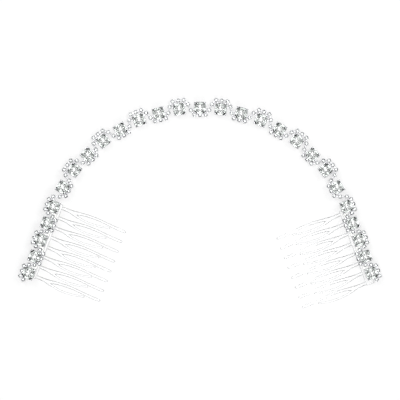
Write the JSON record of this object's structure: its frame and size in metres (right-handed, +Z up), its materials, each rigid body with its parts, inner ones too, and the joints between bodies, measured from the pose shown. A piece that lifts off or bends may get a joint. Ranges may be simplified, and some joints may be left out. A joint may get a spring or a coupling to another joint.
{
  "type": "rhinestone hair chain with side combs",
  "caption": "Flexible serpentine chain of square and round crystals in metal settings, with a clear forked-tooth side comb at each end.",
  "frame": {"origin": "on the table, under the middle of the object's box", "axes": "+X towards the right-hand comb, +Y towards the crown of the arch, +Z up, off the table, the way the crystals face"},
  "size_m": [0.1888, 0.1093, 0.0058],
  "materials": {
    "silver_plate": "bright silver plate over stamped brass",
    "crystal": "foil-backed faceted glass",
    "clear_plastic": "clear moulded plastic, polished",
    "adhesive": "set clear adhesive"
  },
  "bodies": {
    "crown": {"setting_crown": "silver_plate", "stones_crown": "crystal"},
    "link_left_1": {"link_left_1": "silver_plate"},
    "left_1": {"setting_left_1": "silver_plate", "stones_left_1": "crystal"},
    "link_left_2": {"link_left_2": "silver_plate"},
    "left_2": {"setting_left_2": "silver_plate", "stones_left_2": "crystal"},
    "link_left_3": {"link_left_3": "silver_plate"},
    "left_3": {"setting_left_3": "silver_plate", "stones_left_3": "crystal"},
    "link_left_4": {"link_left_4": "silver_plate"},
    "left_4": {"setting_left_4": "silver_plate", "stones_left_4": "crystal"},
    "link_left_5": {"link_left_5": "silver_plate"},
    "left_5": {"setting_left_5": "silver_plate", "stones_left_5": "crystal"},
    "link_left_6": {"link_left_6": "silver_plate"},
    "left_6": {"setting_left_6": "silver_plate", "stones_left_6": "crystal"},
    "link_left_7": {"link_left_7": "silver_plate"},
    "left_7": {"setting_left_7": "silver_plate", "stones_left_7": "crystal"},
    "link_left_8": {"link_left_8": "silver_plate"},
    "left_8": {"setting_left_8": "silver_plate", "stones_left_8": "crystal"},
    "link_left_9": {"link_left_9": "silver_plate"},
    "comb_left": {"comb_left": "clear_plastic", "adhesive_left": "adhesive", "end_settings_left": "silver_plate", "end_stones_left": "crystal"},
    "link_right_1": {"link_right_1": "silver_plate"},
    "right_1": {"setting_right_1": "silver_plate", "stones_right_1": "crystal"},
    "link_right_2": {"link_right_2": "silver_plate"},
    "right_2": {"setting_right_2": "silver_plate", "stones_right_2": "crystal"},
    "link_right_3": {"link_right_3": "silver_plate"},
    "right_3": {"setting_right_3": "silver_plate", "stones_right_3": "crystal"},
    "link_right_4": {"link_right_4": "silver_plate"},
    "right_4": {"setting_right_4": "silver_plate", "stones_right_4": "crystal"},
    "link_right_5": {"link_right_5": "silver_plate"},
    "right_5": {"setting_right_5": "silver_plate", "stones_right_5": "crystal"},
    "link_right_6": {"link_right_6": "silver_plate"},
    "right_6": {"setting_right_6": "silver_plate", "stones_right_6": "crystal"},
    "link_right_7": {"link_right_7": "silver_plate"},
    "right_7": {"setting_right_7": "silver_plate", "stones_right_7": "crystal"},
    "link_right_8": {"link_right_8": "silver_plate"},
    "right_8": {"setting_right_8": "silver_plate", "stones_right_8": "crystal"},
    "link_right_9": {"link_right_9": "silver_plate"},
    "comb_right": {"comb_right": "clear_plastic", "adhesive_right": "adhesive", "end_settings_right": "silver_plate", "end_stones_right": "crystal"}
  },
  "joints": [
    {"name": "turn_left_1", "type": "hinge", "parent": "crown", "child": "link_left_1", "pos_m": [-0.00554, 0.04985, 0.00072], "axis": [0, 0, -1], "range_deg": [-20, 20]},
    {"name": "fold_left_1", "type": "hinge", "parent": "link_left_1", "child": "left_1", "pos_m": [-0.00554, 0.04985, 0.00072], "axis": [0.4434, -0.8963, 0], "range_deg": [-40, 40]},
    {"name": "turn_left_2", "type": "hinge", "parent": "left_1", "child": "link_left_2", "pos_m": [-0.01613, 0.04845, 0.00072], "axis": [0, 0, 1], "range_deg": [-20, 20]},
    {"name": "fold_left_2", "type": "hinge", "parent": "link_left_2", "child": "left_2", "pos_m": [-0.01613, 0.04845, 0.00072], "axis": [0.1946, 0.9809, 0], "range_deg": [-40, 40]},
    {"name": "turn_left_3", "type": "hinge", "parent": "left_2", "child": "link_left_3", "pos_m": [-0.02683, 0.04556, 0.00072], "axis": [0, 0, -1], "range_deg": [-20, 20]},
    {"name": "fold_left_3", "type": "hinge", "parent": "link_left_3", "child": "left_3", "pos_m": [-0.02683, 0.04556, 0.00072], "axis": [0.6616, -0.7499, 0], "range_deg": [-40, 40]},
    {"name": "turn_left_4", "type": "hinge", "parent": "left_3", "child": "link_left_4", "pos_m": [-0.03668, 0.04145, 0.00072], "axis": [0, 0, 1], "range_deg": [-20, 20]},
    {"name": "fold_left_4", "type": "hinge", "parent": "link_left_4", "child": "left_4", "pos_m": [-0.03668, 0.04145, 0.00072], "axis": [-0.0676, 0.9977, 0], "range_deg": [-40, 40]},
    {"name": "turn_left_5", "type": "hinge", "parent": "left_4", "child": "link_left_5", "pos_m": [-0.04626, 0.03587, 0.00072], "axis": [0, 0, -1], "range_deg": [-20, 20]},
    {"name": "fold_left_5", "type": "hinge", "parent": "link_left_5", "child": "left_5", "pos_m": [-0.04626, 0.03587, 0.00072], "axis": [0.8341, -0.5516, 0], "range_deg": [-40, 40]},
    {"name": "turn_left_6", "type": "hinge", "parent": "left_5", "child": "link_left_6", "pos_m": [-0.05471, 0.02934, 0.00072], "axis": [0, 0, 1], "range_deg": [-20, 20]},
    {"name": "fold_left_6", "type": "hinge", "parent": "link_left_6", "child": "left_6", "pos_m": [-0.05471, 0.02934, 0.00072], "axis": [-0.3252, 0.9456, 0], "range_deg": [-40, 40]},
    {"name": "turn_left_7", "type": "hinge", "parent": "left_6", "child": "link_left_7", "pos_m": [-0.06251, 0.02145, 0.00072], "axis": [0, 0, -1], "range_deg": [-20, 20]},
    {"name": "fold_left_7", "type": "hinge", "parent": "link_left_7", "child": "left_7", "pos_m": [-0.06251, 0.02145, 0.00072], "axis": [0.9506, -0.3103, 0], "range_deg": [-40, 40]},
    {"name": "turn_left_8", "type": "hinge", "parent": "left_7", "child": "link_left_8", "pos_m": [-0.06895, 0.01294, 0.00167], "axis": [0, 0, 1], "range_deg": [-20, 20]},
    {"name": "fold_left_8", "type": "hinge", "parent": "link_left_8", "child": "left_8", "pos_m": [-0.06895, 0.01294, 0.00167], "axis": [-0.5519, 0.8339, 0], "range_deg": [-40, 40]},
    {"name": "turn_left_9", "type": "hinge", "parent": "left_8", "child": "link_left_9", "pos_m": [-0.07449, 0.00331, 0.00262], "axis": [0, 0, -1], "range_deg": [-20, 20]},
    {"name": "fold_left_9", "type": "hinge", "parent": "link_left_9", "child": "comb_left", "pos_m": [-0.07449, 0.00331, 0.00262], "axis": [0.9988, -0.0488, 0], "range_deg": [-40, 40]},
    {"name": "turn_right_1", "type": "hinge", "parent": "crown", "child": "link_right_1", "pos_m": [0.00554, 0.04985, 0.00072], "axis": [0, 0, 1], "range_deg": [-20, 20]},
    {"name": "fold_right_1", "type": "hinge", "parent": "link_right_1", "child": "right_1", "pos_m": [0.00554, 0.04985, 0.00072], "axis": [0.4434, 0.8963, 0], "range_deg": [-40, 40]},
    {"name": "turn_right_2", "type": "hinge", "parent": "right_1", "child": "link_right_2", "pos_m": [0.01613, 0.04845, 0.00072], "axis": [0, 0, -1], "range_deg": [-20, 20]},
    {"name": "fold_right_2", "type": "hinge", "parent": "link_right_2", "child": "right_2", "pos_m": [0.01613, 0.04845, 0.00072], "axis": [0.1946, -0.9809, 0], "range_deg": [-40, 40]},
    {"name": "turn_right_3", "type": "hinge", "parent": "right_2", "child": "link_right_3", "pos_m": [0.02683, 0.04556, 0.00072], "axis": [0, 0, 1], "range_deg": [-20, 20]},
    {"name": "fold_right_3", "type": "hinge", "parent": "link_right_3", "child": "right_3", "pos_m": [0.02683, 0.04556, 0.00072], "axis": [0.6616, 0.7499, 0], "range_deg": [-40, 40]},
    {"name": "turn_right_4", "type": "hinge", "parent": "right_3", "child": "link_right_4", "pos_m": [0.03668, 0.04145, 0.00072], "axis": [0, 0, -1], "range_deg": [-20, 20]},
    {"name": "fold_right_4", "type": "hinge", "parent": "link_right_4", "child": "right_4", "pos_m": [0.03668, 0.04145, 0.00072], "axis": [-0.0676, -0.9977, 0], "range_deg": [-40, 40]},
    {"name": "turn_right_5", "type": "hinge", "parent": "right_4", "child": "link_right_5", "pos_m": [0.04626, 0.03587, 0.00072], "axis": [0, 0, 1], "range_deg": [-20, 20]},
    {"name": "fold_right_5", "type": "hinge", "parent": "link_right_5", "child": "right_5", "pos_m": [0.04626, 0.03587, 0.00072], "axis": [0.8341, 0.5516, 0], "range_deg": [-40, 40]},
    {"name": "turn_right_6", "type": "hinge", "parent": "right_5", "child": "link_right_6", "pos_m": [0.05471, 0.02934, 0.00072], "axis": [0, 0, -1], "range_deg": [-20, 20]},
    {"name": "fold_right_6", "type": "hinge", "parent": "link_right_6", "child": "right_6", "pos_m": [0.05471, 0.02934, 0.00072], "axis": [-0.3252, -0.9456, 0], "range_deg": [-40, 40]},
    {"name": "turn_right_7", "type": "hinge", "parent": "right_6", "child": "link_right_7", "pos_m": [0.06251, 0.02145, 0.00072], "axis": [0, 0, 1], "range_deg": [-20, 20]},
    {"name": "fold_right_7", "type": "hinge", "parent": "link_right_7", "child": "right_7", "pos_m": [0.06251, 0.02145, 0.00072], "axis": [0.9506, 0.3103, 0], "range_deg": [-40, 40]},
    {"name": "turn_right_8", "type": "hinge", "parent": "right_7", "child": "link_right_8", "pos_m": [0.06895, 0.01294, 0.00167], "axis": [0, 0, -1], "range_deg": [-20, 20]},
    {"name": "fold_right_8", "type": "hinge", "parent": "link_right_8", "child": "right_8", "pos_m": [0.06895, 0.01294, 0.00167], "axis": [-0.5519, -0.8339, 0], "range_deg": [-40, 40]},
    {"name": "turn_right_9", "type": "hinge", "parent": "right_8", "child": "link_right_9", "pos_m": [0.07449, 0.00331, 0.00262], "axis": [0, 0, 1], "range_deg": [-20, 20]},
    {"name": "fold_right_9", "type": "hinge", "parent": "link_right_9", "child": "comb_right", "pos_m": [0.07449, 0.00331, 0.00262], "axis": [0.9988, 0.0488, 0], "range_deg": [-40, 40]}
  ]
}
